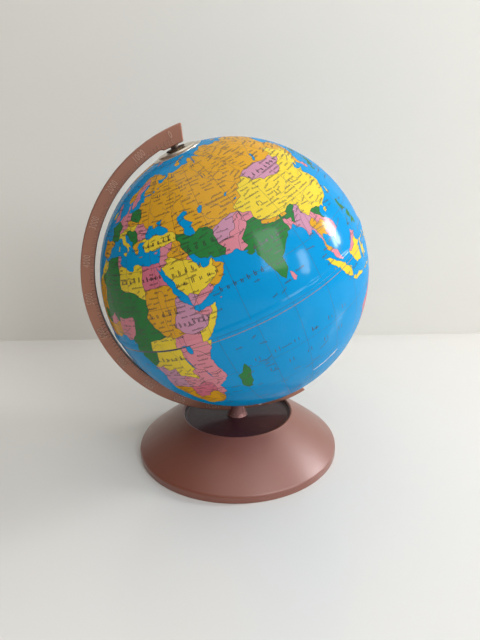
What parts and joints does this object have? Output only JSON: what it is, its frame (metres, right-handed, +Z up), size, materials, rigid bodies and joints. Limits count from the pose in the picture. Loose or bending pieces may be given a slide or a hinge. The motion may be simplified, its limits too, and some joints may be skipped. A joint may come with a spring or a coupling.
{
  "type": "desktop globe on stand",
  "caption": "Desktop terrestrial globe: a pressed tin ball on a tilted axis, turning in a cast semi-meridian arm on a round dished metal base.",
  "frame": {"origin": "middle of the round base's underside, on the table", "axes": "+Z up; the meridian arm lies in the XZ plane with its back at -X; the north pole leans 23.5 degrees towards -X"},
  "size_m": [0.2134, 0.2012, 0.2589],
  "materials": {
    "stand_paint": "satin rose-brown metallic lacquer",
    "dish_enamel": "glossy near-black maroon enamel",
    "printed_tin": "glossy printed and varnished tinplate, political map",
    "cap_metal": "satin pressed aluminium",
    "bright_steel": "zinc-plated turned steel",
    "bush_brass": "turned",
    "dark_fibre": "dark brown vulcanised fibre",
    "green_felt": "wool felt"
  },
  "bodies": {
    "stand": {"base_shell": "stand_paint", "base_dish": "dish_enamel", "base_felt": "green_felt", "stand_post": "stand_paint", "base_screw": "bright_steel", "clamp_washer": "bright_steel", "lock_washer": "bright_steel", "meridian_arm": "stand_paint", "north_pin": "bright_steel", "north_collar": "bright_steel", "north_washer": "dark_fibre", "south_pin": "bright_steel", "south_collar": "bright_steel", "south_washer": "dark_fibre"},
    "globe": {"north_hemisphere": "printed_tin", "south_hemisphere": "printed_tin", "north_cap": "cap_metal", "south_cap": "cap_metal", "north_bush": "bush_brass", "south_bush": "bush_brass", "north_backing_washer": "bright_steel", "south_backing_washer": "bright_steel"}
  },
  "joints": [
    {"name": "globe_spin", "type": "hinge", "parent": "stand", "child": "globe", "pos_m": [0, 0, 0.149], "axis": [-0.3987, 0, 0.9171], "continuous": true}
  ]
}
